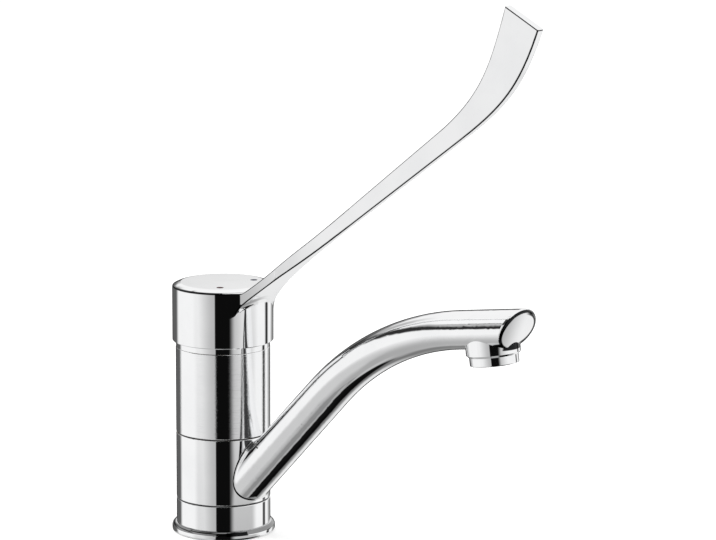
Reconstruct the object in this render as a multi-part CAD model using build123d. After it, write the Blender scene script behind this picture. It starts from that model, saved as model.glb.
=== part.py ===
from build123d import *
import math
import os

# Elbow lever tap. All lengths are in millimetres.
# The origin is on the deck under the middle of the column, +Z is up,
# and the spout and the lever both point along +X.

# Gaps between pieces: a running fit, a loose fit of fixed pieces, and a free gap.
running_gap = 0.06
loose_gap = 0.05
free_gap = 0.3
stack_gap = 0.05
cut_margin = 2.0

# Column, from the deck up: foot, collar, turning ring of the spout, upper body.
column_radius = 23.5
foot_radius = 25.7
foot_height = 4.6
foot_lower_rounding = 1.2
collar_height = 12.6
spout_ring_height = 33.6
upper_body_height = 43.2
seam_gap = 0.6
glide_thickness = 0.5
glide_recess = 0.6
column_edge_rounding = 0.3
lower_seam_height = foot_height + collar_height
upper_seam_height = lower_seam_height + spout_ring_height
column_top_height = upper_seam_height + upper_body_height
cover_ring_height = 3.0
cover_ring_top_height = column_top_height + cover_ring_height
cover_ring_radius = 23.35
cover_ring_bore = 16.5
cover_lip_depth = 1.2
cover_lip_width = 1.4

# Shank of the column, which goes down through the spout's ring.
shank_radius = 18.0
shank_foot_radius = 16.0
gallery_rise = 12.8
gallery_height = 10.0
gallery_bottom_height = lower_seam_height + gallery_rise
gallery_top_height = gallery_bottom_height + gallery_height
gallery_depth = 2.4
seal_inset = 7.3
seal_groove_height = 3.2
seal_groove_depth = 1.8
lower_seal_height = lower_seam_height + seal_inset
upper_seal_height = upper_seam_height - seal_inset
seal_clearance = 0.1
stop_slot_height = 5.0
stop_slot_depth = 1.8
stop_lug_height = 3.4
stop_lug_depth = 1.5
stop_lug_half_angle = 8.0
swivel_half_range = 70.0
stop_play_angle = 0.4

# Waterways and fixing holes in the shank.
inlet_offset_x = 5.5
inlet_offset_y = 6.2
inlet_thread_radius = 4.5
inlet_thread_length = 12.0
waterway_radius = 2.2
outlet_offset = 5.0
outlet_way_radius = 2.6
outlet_way_rise = 2.0
outlet_way_bottom_height = gallery_bottom_height + outlet_way_rise
stud_offset = 9.0
stud_thread_radius = 3.4
stud_thread_length = 14.0

# Cartridge, in a chamber that is open at the top of the column.
cartridge_seat_depth = 28.0
cartridge_seat_height = column_top_height - cartridge_seat_depth
cartridge_radius = 17.0
cartridge_chamber_radius = 17.3
nut_chamber_depth = 8.0
chamber_top_height = column_top_height - nut_chamber_depth
cartridge_base_height = 4.5
cartridge_base_top_height = cartridge_seat_height + cartridge_base_height
cartridge_spigot_height = 0.8
housing_wall = 1.6
housing_depth = 5.2
housing_top_height = column_top_height - housing_depth
housing_cover_thickness = 2.4
nut_thread_radius = 20.0
nut_height = 3.6
nut_bore = 13.2
nut_slot_width = 4.0
nut_slot_depth = 3.0
nut_slot_count = 4
port_seal_width = 1.5
port_seal_height = 1.2
port_seal_stand = 0.25
disc_thickness = 2.9
moving_disc_radius = 12.4
moving_disc_thickness = 3.3
mixing_recess_radius = 5.6
mixing_recess_depth = 1.5

# Lever mechanism, set out from the top of the column.
pivot_depth = 1.0
pivot_height = column_top_height - pivot_depth
pivot_pin_radius = 1.5
pivot_pin_length = 20.0
turret_radius = 11.5
turret_flange_radius = 14.8
turret_flange_depth = 10.0
turret_flange_bottom_height = column_top_height - turret_flange_depth
turret_rise = 3.2
turret_top_height = column_top_height + turret_rise
turret_slot_half_length = 6.5
rail_half_length = 5.0
rail_width = 1.4
rail_depth = 5.0
stem_thickness = 4.8
stem_arm_width = 3.6
stem_head_width = 8.0
stem_square_width = 7.0
stem_square_rise = 2.3
stem_square_bottom_height = turret_top_height + stem_square_rise
stem_square_height = 18.5
stem_top_height = stem_square_bottom_height + stem_square_height
foot_arm_length = 10.48
foot_roller_radius = 2.2
lift_range = 22.0
foot_pocket_depth = 3.9
socket_gap = 0.05

# Cap of the lever: a round wall, a rounded edge, a sloping shoulder and a flat lid.
cap_radius = 25.1
cap_height = 29.2
lid_height = cover_ring_top_height + cap_height
lid_shoulder_drop = 1.2
lid_shoulder_width = 3.3
shoulder_reach_share = 0.55
shoulder_sink_share = 0.36
lid_edge_rounding = 0.9
skirt_wall = 1.0
skirt_height = 9.5
cap_wall = 2.3
rim_rounding = 0.4
lid_thickness = 4.5
lid_under_height = lid_height - lid_thickness
boss_radius = 7.5
boss_rise = 2.5
boss_bottom_height = stem_square_bottom_height + boss_rise
rib_width = 9.0
rib_rise = 5.5
rib_bottom_height = boss_bottom_height + rib_rise
screw_rise = 10.5
screw_height = boss_bottom_height + screw_rise
screw_radius = 2.4
screw_length = 7.4
screw_key_width = 2.5
screw_key_depth = 2.6
plug_radius = 3.2
plug_depth = 2.0
plug_shank_radius = 2.3
plug_shank_length = 3.0
dot_radius = 1.75
dot_depth = 1.4
dot_offset_x = 9.25
dot_offset_y = 12.95

# Lever blade: a flat bar that stands on edge, seen from its side.
# Points are (distance from the column's axis, height above the lid).
blade_root_top = (15.0, -7.4)
blade_neck_top = (52.0, 23.2)
blade_bend_top = (133.0, 87.0)
blade_knee_top = (157.3, 113.5)
blade_tip_top = (170.6, 148.6)
blade_root_low = (21.0, -9.7)
blade_neck_low = (45.5, 11.0)
blade_bend_low = (142.0, 81.6)
blade_knee_low = (174.6, 110.6)
blade_tip_low = (189.0, 138.9)
blade_root_top_angle = 34.0
blade_root_low_angle = 46.0
blade_tip_angle_top = 73.0
blade_tip_angle_low = 70.0
# Half thicknesses of the blade at distances from the column's axis.
blade_root_half = (10.0, 10.8)
blade_shoulder_half = (24.0, 10.2)
blade_neck_half = (46.4, 5.3)
blade_slim_half = (83.4, 2.2)
blade_tip_half = (210.0, 2.3)
blade_edge_rounding = 0.7

# Spout: an oval tube that leaves the ring at an angle, bends and runs out almost level.
spout_axis_drop = 7.8
spout_axis_height = lower_seam_height - spout_axis_drop
spout_rise_angle = 46.3
spout_rise_length = 98.4
spout_bend_radius = 136.5
spout_end_slope = 8.46
spout_half_width = 14.0
spout_half_height_root = 10.3
spout_half_height_bend = 9.7
spout_half_height_end = 9.15
spout_root_rounding = 1.5
spout_end_reach = 179.5
spout_end_slant = 28.0
spout_end_rounding = 1.6
spout_wall_side = 2.4
spout_wall_flat = 3.2
spout_bore_start_reach = 25.0
spout_end_wall = 4.0
spout_port_radius = 4.4
spout_port_height = (gallery_bottom_height + gallery_top_height) / 2

# Outlet under the end of the spout. Depths are measured down from the tube's axis.
outlet_reach = 163.4
outlet_boss_radius = 12.9
outlet_boss_depth = 12.1
outlet_boss_chamfer = 1.0
outlet_thread_radius = 11.0
outlet_shoulder_depth = 7.7
outlet_throat_radius = 8.4
aerator_ring_radius = 11.6
aerator_ring_depth = 16.3
aerator_ring_rounding = 0.5
aerator_seal_thickness = 1.0
aerator_insert_radius = 9.4
aerator_insert_recess = 1.0
aerator_insert_hole_radius = 0.9
aerator_insert_inner_circle = 3.6
aerator_insert_outer_circle = 7.0
aerator_inner_holes = 6
aerator_outer_holes = 12

# Foot gasket.
gasket_inner_radius = 18.6
gasket_outer_radius = 23.6
gasket_thickness = 1.4


def disc(radius, bottom, top):
    """Round block between two heights."""
    return Pos(0, 0, bottom) * Cylinder(radius, top - bottom, align=(Align.CENTER, Align.CENTER, Align.MIN))


def ring(outer, inner, bottom, top):
    """Round block with a bore."""
    return disc(outer, bottom, top) - disc(inner, bottom - cut_margin, top + cut_margin)


def block(x_low, x_high, y_half, bottom, top):
    """Straight block, the same on both sides of the middle plane."""
    body = Box(x_high - x_low, 2 * y_half, top - bottom, align=(Align.MIN, Align.CENTER, Align.MIN))
    return Pos(x_low, 0, bottom) * body


def round_bar_y(radius, length, x, z):
    """Round bar along Y, centred on the middle plane."""
    return Pos(x, 0, z) * Rot(90, 0, 0) * Cylinder(radius, length)


def round_bar_x(radius, x_low, x_high, y, z):
    """Round bar along X between two distances."""
    bar = Cylinder(radius, x_high - x_low, align=(Align.CENTER, Align.CENTER, Align.MIN))
    return Pos(x_low, y, z) * Rot(0, 90, 0) * bar


def ways(radius_in, radius_out, bottom, top):
    """Blocks in the place of the two inlet ways and the outlet way."""
    hot = Pos(inlet_offset_x, -inlet_offset_y, 0) * disc(radius_in, bottom, top)
    cold = Pos(inlet_offset_x, inlet_offset_y, 0) * disc(radius_in, bottom, top)
    mixed = Pos(-outlet_offset, 0, 0) * disc(radius_out, bottom, top)
    return [hot, cold, mixed]


def sector(radius, half_angle, bottom, top):
    """Wedge that opens towards -X, between two heights."""
    reach = radius / math.cos(math.radians(half_angle / 2))
    spread = math.radians(half_angle)
    points = [(0, 0)]
    for share in (-1, -0.5, 0, 0.5, 1):
        points.append((-reach * math.cos(spread * share), reach * math.sin(spread * share)))
    face = make_face(Polyline(*points, close=True))
    return Pos(0, 0, bottom) * extrude(face, amount=top - bottom)


def column_round(solid, height):
    """Break the sharp outer edge of a column piece at one height."""
    edges = [
        e
        for e in solid.edges().filter_by(GeomType.CIRCLE)
        if abs(e.radius - column_radius) < loose_gap and abs(e.center().Z - height) < loose_gap
    ]
    return fillet(edges, column_edge_rounding)


def make_mixer_body():
    body = disc(column_radius, upper_seam_height + seam_gap / 2, column_top_height)
    body += disc(shank_radius, lower_seam_height, upper_seam_height + seam_gap)
    body += disc(shank_foot_radius, 0, lower_seam_height + seam_gap)
    body -= disc(cartridge_chamber_radius, cartridge_seat_height, column_top_height + cut_margin)
    body -= disc(nut_thread_radius, chamber_top_height, column_top_height + cut_margin)
    body -= ring(
        column_radius,
        shank_radius - gallery_depth,
        gallery_bottom_height,
        gallery_top_height,
    )
    for seal_height in (lower_seal_height, upper_seal_height):
        body -= ring(
            column_radius,
            shank_radius - seal_groove_depth,
            seal_height - seal_groove_height / 2,
            seal_height + seal_groove_height / 2,
        )
    slot = ring(
        shank_radius + cut_margin,
        shank_radius - stop_slot_depth,
        lower_seam_height - cut_margin,
        lower_seam_height + stop_slot_height,
    )
    slot_half_angle = swivel_half_range + stop_lug_half_angle + stop_play_angle
    body -= slot & sector(column_radius, slot_half_angle, 0, lower_seam_height + stop_slot_height)
    for way in ways(waterway_radius, outlet_way_radius, outlet_way_bottom_height, cartridge_seat_height + cut_margin):
        body -= way
    for side in (-1, 1):
        place = Pos(inlet_offset_x, side * inlet_offset_y, 0)
        body -= place * disc(waterway_radius, 0, cartridge_seat_height)
        body -= place * disc(inlet_thread_radius, -cut_margin, inlet_thread_length)
    gallery_mid_height = (gallery_bottom_height + gallery_top_height) / 2
    body -= round_bar_x(outlet_way_radius, -column_radius, -outlet_offset, 0, gallery_mid_height)
    body -= Pos(-stud_offset, 0, 0) * disc(stud_thread_radius, -cut_margin, stud_thread_length)
    body = column_round(body, upper_seam_height + seam_gap / 2)
    return column_round(body, column_top_height)


def make_base_collar():
    collar = ring(
        column_radius,
        shank_foot_radius + loose_gap,
        foot_height + stack_gap,
        lower_seam_height - seam_gap / 2,
    )
    return column_round(collar, lower_seam_height - seam_gap / 2)


def make_base_ring():
    width = foot_radius - shank_foot_radius - free_gap
    middle = foot_radius - width / 2
    face = Pos(middle, foot_height / 2) * Rectangle(width, foot_height)
    outer = face.vertices().group_by(Axis.X)[-1].sort_by(Axis.Y)
    face = fillet(outer[0], foot_lower_rounding)
    top = face.vertices().group_by(Axis.Y)[-1].sort_by(Axis.X)
    face = fillet(top[-1], foot_radius - column_radius)
    body = revolve(Plane.XZ * face, Axis.Z)
    groove = ring(
        gasket_outer_radius + loose_gap,
        gasket_inner_radius - loose_gap,
        -cut_margin,
        gasket_thickness,
    )
    return body - groove


def make_base_gasket():
    return ring(gasket_outer_radius, gasket_inner_radius, 0, gasket_thickness - stack_gap)


def make_glide_ring(seam_height):
    return ring(
        column_radius - glide_recess,
        shank_radius + free_gap,
        seam_height - glide_thickness / 2,
        seam_height + glide_thickness / 2,
    )


def make_spout_seal(seal_height):
    """Square seal with a lip groove, seated in the shank."""
    outer = shank_radius - running_gap
    inner = shank_radius - seal_groove_depth + seal_clearance
    half = seal_groove_height / 2 - seal_clearance
    body = ring(outer, inner, seal_height - half, seal_height + half)
    groove = ring(
        outer + cut_margin,
        outer - seal_groove_depth / 3,
        seal_height - half / 3,
        seal_height + half / 3,
    )
    return body - groove


def make_cover_ring():
    body = ring(
        cover_ring_radius,
        cover_ring_bore,
        column_top_height + stack_gap,
        cover_ring_top_height,
    )
    lip_outer = nut_thread_radius - loose_gap
    body += ring(
        lip_outer,
        lip_outer - cover_lip_width,
        column_top_height - cover_lip_depth,
        column_top_height + cover_lip_width,
    )
    return body


def make_cartridge_nut():
    bottom = housing_top_height + stack_gap
    nut = ring(nut_thread_radius - loose_gap, nut_bore, bottom, bottom + nut_height)
    for index in range(nut_slot_count):
        turn = Rot(0, 0, 45 + 360 * index / nut_slot_count)
        notch = block(
            nut_bore - cut_margin,
            nut_bore + nut_slot_depth,
            nut_slot_width / 2,
            bottom + nut_height / 2,
            bottom + nut_height + cut_margin,
        )
        nut -= turn * notch
    return nut


def make_cartridge_base():
    body = disc(cartridge_radius, cartridge_seat_height + port_seal_stand, cartridge_base_top_height)
    spigot = cartridge_radius - housing_wall - free_gap
    body += disc(spigot, cartridge_base_top_height - cut_margin, cartridge_base_top_height + cartridge_spigot_height)
    top = cartridge_base_top_height + cartridge_spigot_height + cut_margin
    for way in ways(waterway_radius, outlet_way_radius, cartridge_seat_height, top):
        body -= way
    wide = port_seal_width + loose_gap
    low = cartridge_seat_height - cut_margin
    for way in ways(waterway_radius + wide, outlet_way_radius + wide, low, cartridge_seat_height + port_seal_height):
        body -= way
    return body


def make_port_seals():
    low = cartridge_seat_height + stack_gap / 2
    high = cartridge_seat_height + port_seal_height - stack_gap
    outer = ways(waterway_radius + port_seal_width, outlet_way_radius + port_seal_width, low, high)
    inner = ways(waterway_radius, outlet_way_radius, low - cut_margin, high + cut_margin)
    seals = [whole - hole for whole, hole in zip(outer, inner)]
    return Compound(children=[Solid(s.solid().wrapped) for s in seals])


def make_cartridge_housing():
    bottom = cartridge_base_top_height + stack_gap
    body = disc(cartridge_radius, bottom, housing_top_height)
    body -= disc(cartridge_radius - housing_wall, bottom - cut_margin, housing_top_height - housing_cover_thickness)
    body -= disc(turret_radius + running_gap, bottom, housing_top_height + cut_margin)
    return body


def fixed_disc_bottom():
    return cartridge_base_top_height + cartridge_spigot_height + stack_gap


def moving_disc_bottom():
    return fixed_disc_bottom() + disc_thickness + stack_gap


def carrier_bottom():
    return moving_disc_bottom() + moving_disc_thickness + stack_gap


def rest_slide():
    """Distance of the moving disc from the axis while the tap is closed."""
    return -foot_arm_length * math.sin(math.radians(lift_range / 2))


def make_fixed_ceramic_disc():
    radius = cartridge_radius - housing_wall - free_gap
    low = fixed_disc_bottom()
    body = disc(radius, low, low + disc_thickness)
    for way in ways(waterway_radius, outlet_way_radius, low - cut_margin, low + disc_thickness + cut_margin):
        body -= way
    return body


def make_moving_ceramic_disc():
    low = moving_disc_bottom()
    body = disc(moving_disc_radius, low, low + moving_disc_thickness)
    body -= disc(mixing_recess_radius, low - cut_margin, low + mixing_recess_depth)
    return Pos(rest_slide(), 0, 0) * body


def foot_height_at_rest():
    return pivot_height - foot_arm_length * math.cos(math.radians(lift_range / 2))


def make_disc_carrier():
    top = turret_flange_bottom_height - 2 * stack_gap
    body = disc(moving_disc_radius, carrier_bottom(), top)
    body = Pos(rest_slide(), 0, 0) * body
    wide = foot_roller_radius + seal_clearance
    pocket = block(
        rest_slide() - wide,
        rest_slide() + wide,
        stem_thickness / 2 + free_gap,
        top - foot_pocket_depth,
        top + cut_margin,
    )
    return body - pocket


def make_lever_carrier():
    """Turret that turns with the lever and carries its pivot pin."""
    flange_top = housing_top_height - housing_cover_thickness - stack_gap
    body = disc(turret_flange_radius, turret_flange_bottom_height, flange_top)
    body += disc(turret_radius, turret_flange_bottom_height, turret_top_height)
    for side in (-1, 1):
        inner = moving_disc_radius + stack_gap
        rail = Box(2 * rail_half_length, rail_width, rail_depth, align=(Align.CENTER, Align.CENTER, Align.MAX))
        place = Pos(0, side * (inner + rail_width / 2), turret_flange_bottom_height + stack_gap)
        body += place * rail
    slot = block(
        -turret_slot_half_length,
        turret_slot_half_length,
        stem_thickness / 2 + running_gap,
        turret_flange_bottom_height - cut_margin,
        turret_top_height + cut_margin,
    )
    body -= slot
    return body - round_bar_y(pivot_pin_radius + running_gap, 3 * turret_radius, 0, pivot_height)


def make_pivot_pin():
    return round_bar_y(pivot_pin_radius, pivot_pin_length, 0, pivot_height)


def make_lever_stem():
    """Spindle: a flat arm with a rounded foot below the pivot and a square head above it."""
    arm = block(
        -stem_arm_width / 2,
        stem_arm_width / 2,
        stem_thickness / 2,
        -foot_arm_length,
        0,
    )
    arm += Pos(0, 0, -foot_arm_length) * Rot(90, 0, 0) * Cylinder(foot_roller_radius, stem_thickness)
    body = Pos(0, 0, pivot_height) * Rot(0, lift_range / 2, 0) * arm
    body += round_bar_y(stem_head_width / 2, stem_thickness, 0, pivot_height)
    body += block(
        -stem_square_width / 2,
        stem_square_width / 2,
        stem_thickness / 2,
        pivot_height,
        stem_square_bottom_height + stack_gap,
    )
    body += block(
        -stem_square_width / 2,
        stem_square_width / 2,
        stem_square_width / 2,
        stem_square_bottom_height,
        stem_top_height,
    )
    return body - round_bar_y(pivot_pin_radius + running_gap, 3 * stem_thickness, 0, pivot_height)


def lid_outline():
    """Half outline of the lid from its middle to the top of the cap's wall, and that wall's height."""
    shoulder_low = lid_height - lid_shoulder_drop
    flat_radius = cap_radius - lid_edge_rounding - lid_shoulder_width
    edge = cap_radius - lid_edge_rounding
    wall_top = shoulder_low - lid_edge_rounding
    flat = Line((0, lid_height), (flat_radius, lid_height))
    shoulder = ThreePointArc(
        (flat_radius, lid_height),
        (
            flat_radius + shoulder_reach_share * lid_shoulder_width,
            lid_height - shoulder_sink_share * lid_shoulder_drop,
        ),
        (edge, shoulder_low),
    )
    corner = CenterArc((edge, wall_top), lid_edge_rounding, 0, 90)
    return flat + shoulder + corner, wall_top


def cap_shell():
    """Hollow cap: thin skirt, thicker wall above it, lid with a sloping shoulder."""
    outline, wall_top = lid_outline()
    skirt_inner = cap_radius - skirt_wall
    skirt_top = cover_ring_top_height + skirt_height
    wall_inner = cap_radius - cap_wall
    rest = Polyline(
        (cap_radius, wall_top),
        (cap_radius, cover_ring_top_height + rim_rounding),
        (cap_radius - rim_rounding, cover_ring_top_height),
        (skirt_inner, cover_ring_top_height),
        (skirt_inner, skirt_top),
        (wall_inner, skirt_top + cap_wall - skirt_wall),
        (wall_inner, lid_under_height),
        (0, lid_under_height),
        (0, lid_height),
    )
    face = make_face(outline + rest)
    return revolve(Plane.XZ * face, Axis.Z)


def direction(angle):
    return (math.cos(math.radians(angle)), math.sin(math.radians(angle)))


def make_blade():
    """Side outline of the lever, trimmed to its thickness as seen from above."""
    rise_x = blade_bend_top[0] - blade_neck_top[0]
    rise_z = blade_bend_top[1] - blade_neck_top[1]
    top_root = Spline(
        blade_root_top,
        blade_neck_top,
        tangents=(direction(blade_root_top_angle), (rise_x, rise_z)),
    )
    top_line = Line(blade_neck_top, blade_bend_top)
    top_curve = Spline(
        blade_bend_top,
        blade_knee_top,
        blade_tip_top,
        tangents=((rise_x, rise_z), direction(blade_tip_angle_top)),
    )
    tip = Line(blade_tip_top, blade_tip_low)
    low_x = blade_bend_low[0] - blade_neck_low[0]
    low_z = blade_bend_low[1] - blade_neck_low[1]
    low_curve = Spline(
        blade_bend_low,
        blade_knee_low,
        blade_tip_low,
        tangents=((low_x, low_z), direction(blade_tip_angle_low)),
    )
    low_line = Line(blade_neck_low, blade_bend_low)
    neck = Spline(
        blade_root_low,
        blade_neck_low,
        tangents=(direction(blade_root_low_angle), (low_x, low_z)),
    )
    back = Line(blade_root_low, blade_root_top)
    side = make_face(top_root + top_line + top_curve + tip + low_curve + low_line + neck + back)
    side = Pos(0, lid_height) * side
    side_block = extrude(Plane.XZ * side, amount=blade_root_half[1], both=True)
    halves = []
    for turn in (1, -1):
        halves.append([(x, turn * y) for x, y in (blade_root_half, blade_shoulder_half, blade_neck_half)])
    slim = blade_slim_half
    end = blade_tip_half
    slope = (end[0] - slim[0], end[1] - slim[1])
    edges = []
    for turn, points in zip((1, -1), halves):
        edges.append(Spline(*points, (slim[0], turn * slim[1]), tangents=((1, 0), (slope[0], turn * slope[1]))))
        edges.append(Line((slim[0], turn * slim[1]), (end[0], turn * end[1])))
    ends = [
        Line((blade_root_half[0], -blade_root_half[1]), blade_root_half),
        Line((end[0], -end[1]), end),
    ]
    plan = make_face(Curve() + edges + ends)
    plan_block = extrude(plan, amount=lid_height + 2 * blade_tip_top[1])
    return side_block & plan_block


def make_elbow_lever():
    blade = make_blade()
    long_edges = [
        e
        for e in blade.edges()
        if e.length > cap_radius and abs(e.center().Y) > blade_slim_half[1] / 2
    ]
    blade = fillet(long_edges, blade_edge_rounding)
    inside = disc(cap_radius - cap_wall, 0, lid_under_height)
    body = cap_shell() + (blade - inside)
    boss = disc(boss_radius, boss_bottom_height, lid_under_height + stack_gap)
    rib = block(-(cap_radius - cap_wall / 2), 0, rib_width / 2, rib_bottom_height, lid_under_height + stack_gap)
    body += boss + rib
    half = stem_square_width / 2 + socket_gap
    body -= block(-half, half, half, boss_bottom_height - cut_margin, stem_top_height + free_gap)
    body -= round_bar_x(screw_radius + loose_gap, -cap_radius - cut_margin, 0, 0, screw_height)
    body -= round_bar_x(plug_radius + loose_gap, -cap_radius - cut_margin, plug_depth - cap_radius, 0, screw_height)
    for side in (-1, 1):
        body -= Pos(dot_offset_x, side * dot_offset_y, 0) * disc(
            dot_radius + loose_gap, lid_height - dot_depth, lid_height + cut_margin
        )
    return body


def make_dot(side):
    """Coloured mark, flush with the lid."""
    return Pos(dot_offset_x, side * dot_offset_y, 0) * disc(dot_radius, lid_height - dot_depth + stack_gap, lid_height)


def make_grub_screw():
    """Headless screw with a hexagon socket, pressed against the stem."""
    tip = -stem_square_width / 2 - loose_gap
    body = round_bar_x(screw_radius, tip - screw_length, tip, 0, screw_height)
    key = extrude(RegularPolygon(screw_key_width / 2, 6, major_radius=False), amount=screw_key_depth)
    return body - Pos(tip - screw_length, 0, screw_height) * Rot(0, 90, 0) * key


def make_screw_plug():
    """Round plug that closes the screw's hole, flush with the cap's wall."""
    head = round_bar_x(plug_radius, -cap_radius, plug_depth - cap_radius - stack_gap, 0, screw_height)
    shank_end = plug_depth - cap_radius + plug_shank_length
    body = head + round_bar_x(plug_shank_radius, -cap_radius, shank_end, 0, screw_height)
    return body & disc(cap_radius, 0, stem_top_height)


def bend_start():
    rise = math.radians(spout_rise_angle)
    x = spout_rise_length * math.cos(rise)
    return (x, spout_axis_height + spout_rise_length * math.sin(rise))


def bend_end():
    x, z = bend_start()
    rise = math.radians(spout_rise_angle)
    slope = math.radians(spout_end_slope)
    x += spout_bend_radius * (math.sin(rise) - math.sin(slope))
    z += spout_bend_radius * (math.cos(slope) - math.cos(rise))
    return (x, z)


def axis_point(reach):
    """Point of the tube's axis at a distance in its last, straight stretch."""
    x, z = bend_end()
    return (reach, z + (reach - x) * math.tan(math.radians(spout_end_slope)))


def oval(place, angle, half_width, half_height):
    """Oval section square to the tube's axis."""
    x_way, z_way = direction(angle)
    plane = Plane(origin=(place[0], 0, place[1]), x_dir=(0, 1, 0), z_dir=(x_way, 0, z_way))
    return plane * Ellipse(half_width, half_height)


def oval_tube(side_wall, flat_wall):
    """The spout's tube, or its bore when walls are taken off."""
    last = axis_point(spout_end_reach + 2 * spout_half_width)
    first = (0, spout_axis_height)
    width = spout_half_width - side_wall
    rise = loft(
        [
            oval(first, spout_rise_angle, width, spout_half_height_root - flat_wall),
            oval(bend_start(), spout_rise_angle, width, spout_half_height_bend - flat_wall),
        ]
    )
    arc = JernArc(bend_start(), direction(spout_rise_angle), spout_bend_radius, spout_end_slope - spout_rise_angle)
    bend = sweep(
        [
            oval(bend_start(), spout_rise_angle, width, spout_half_height_bend - flat_wall),
            oval(bend_end(), spout_end_slope, width, spout_half_height_end - flat_wall),
        ],
        path=Plane.XZ * arc,
        multisection=True,
    )
    run = loft(
        [
            oval(bend_end(), spout_end_slope, width, spout_half_height_end - flat_wall),
            oval(last, spout_end_slope, width, spout_half_height_end - flat_wall),
        ]
    )
    return rise + bend + run


def end_plane(back_off):
    """Slanted plane of the spout's end, moved back along its own normal."""
    x, z = axis_point(spout_end_reach)
    x_way, z_way = direction(spout_end_slope - spout_end_slant)
    origin = (x - back_off * x_way, 0, z - back_off * z_way)
    return Plane(origin=origin, x_dir=(0, 1, 0), z_dir=(x_way, 0, z_way))


def outlet_plane():
    """Plane on the tube's axis above the outlet; its normal points down along the outlet."""
    x, z = axis_point(outlet_reach)
    x_way, z_way = direction(spout_end_slope)
    return Plane(origin=(x, 0, z), x_dir=(0, 1, 0), z_dir=(z_way, 0, -x_way))


def make_spout():
    tube = split(oval_tube(0, 0), bisect_by=end_plane(0), keep=Keep.BOTTOM)
    rim = tube.edges().sort_by(Axis.X)[-1]
    tube = fillet(rim, spout_end_rounding)
    ring_low = lower_seam_height + seam_gap / 2
    ring_high = upper_seam_height - seam_gap / 2
    tube -= disc(4 * column_radius, ring_low - 4 * column_radius, ring_low)
    body = disc(column_radius, ring_low, ring_high)
    body = column_round(body, ring_low)
    body = column_round(body, ring_high)
    body += tube
    seam = [
        e
        for e in body.edges().filter_by(GeomType.BSPLINE)
        if e.length > spout_half_height_root
        and abs(math.hypot(e.center().X, e.center().Y) - column_radius) < cut_margin
    ]
    body = fillet(seam, spout_root_rounding)
    body += outlet_plane() * outlet_boss()
    bore = split(oval_tube(spout_wall_side, spout_wall_flat), bisect_by=end_plane(spout_end_wall), keep=Keep.BOTTOM)
    rise_x, rise_z = direction(spout_rise_angle)
    start_height = spout_axis_height + spout_bore_start_reach * rise_z / rise_x
    start = Plane(
        origin=(spout_bore_start_reach, 0, start_height),
        x_dir=(0, 1, 0),
        z_dir=(rise_x, 0, rise_z),
    )
    bore = split(bore, bisect_by=start, keep=Keep.TOP)
    body -= bore
    body -= round_bar_x(spout_port_radius, 0, spout_bore_start_reach + spout_wall_flat, 0, spout_port_height)
    body -= outlet_plane() * disc(outlet_throat_radius, 0, outlet_boss_depth + cut_margin)
    body -= outlet_plane() * disc(outlet_thread_radius + loose_gap, outlet_shoulder_depth, outlet_boss_depth + cut_margin)
    body -= disc(shank_radius + running_gap, 0, ring_high + cut_margin)
    lug_low = lower_seam_height + seam_gap
    lug = ring(
        shank_radius + cut_margin,
        shank_radius - stop_lug_depth,
        lug_low,
        lug_low + stop_lug_height,
    )
    return body + (lug & sector(column_radius, stop_lug_half_angle, 0, ring_high))


def outlet_boss():
    boss = disc(outlet_boss_radius, 0, outlet_boss_depth)
    low = boss.edges().filter_by(GeomType.CIRCLE).sort_by(Axis.Z)[-1]
    return chamfer(low, outlet_boss_chamfer)


def make_aerator_housing():
    top = outlet_shoulder_depth + aerator_seal_thickness
    body = disc(outlet_thread_radius, top, aerator_ring_depth)
    flange = disc(aerator_ring_radius, outlet_boss_depth + stack_gap, aerator_ring_depth)
    low = flange.edges().filter_by(GeomType.CIRCLE).sort_by(Axis.Z)[-1]
    body += fillet(low, aerator_ring_rounding)
    body -= disc(aerator_insert_radius + loose_gap, top - cut_margin, aerator_ring_depth + cut_margin)
    return outlet_plane() * body


def make_aerator_seal():
    high = outlet_shoulder_depth + aerator_seal_thickness - stack_gap
    body = ring(outlet_thread_radius - loose_gap, outlet_throat_radius, outlet_shoulder_depth + stack_gap, high)
    return outlet_plane() * body


def make_aerator_insert():
    top = outlet_shoulder_depth + aerator_seal_thickness + stack_gap
    low = aerator_ring_depth - aerator_insert_recess
    body = disc(aerator_insert_radius, top, low)
    rows = (
        (aerator_insert_inner_circle, aerator_inner_holes),
        (aerator_insert_outer_circle, aerator_outer_holes),
    )
    for radius, count in rows:
        for spot in PolarLocations(radius, count):
            body -= spot * disc(aerator_insert_hole_radius, top - cut_margin, low + cut_margin)
    body -= disc(aerator_insert_hole_radius, top - cut_margin, low + cut_margin)
    return outlet_plane() * body


os.makedirs("parts", exist_ok=True)
pieces = {
    "mixer_body": make_mixer_body(),
    "base_collar": make_base_collar(),
    "base_ring": make_base_ring(),
    "base_gasket": make_base_gasket(),
    "lower_glide_ring": make_glide_ring(lower_seam_height),
    "upper_glide_ring": make_glide_ring(upper_seam_height),
    "lower_spout_seal": make_spout_seal(lower_seal_height),
    "upper_spout_seal": make_spout_seal(upper_seal_height),
    "cover_ring": make_cover_ring(),
    "cartridge_nut": make_cartridge_nut(),
    "cartridge_base": make_cartridge_base(),
    "port_seals": make_port_seals(),
    "cartridge_housing": make_cartridge_housing(),
    "fixed_ceramic_disc": make_fixed_ceramic_disc(),
    "moving_ceramic_disc": make_moving_ceramic_disc(),
    "disc_carrier": make_disc_carrier(),
    "lever_carrier": make_lever_carrier(),
    "pivot_pin": make_pivot_pin(),
    "lever_stem": make_lever_stem(),
    "elbow_lever": make_elbow_lever(),
    "hot_dot": make_dot(-1),
    "cold_dot": make_dot(1),
    "grub_screw": make_grub_screw(),
    "screw_plug": make_screw_plug(),
    "spout": make_spout(),
    "aerator_housing": make_aerator_housing(),
    "aerator_seal": make_aerator_seal(),
    "aerator_insert": make_aerator_insert(),
}
for name, piece in pieces.items():
    export_step(piece, f"parts/{name}.step")
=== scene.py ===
import math

import bpy
from mathutils import Matrix, Vector


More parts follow.
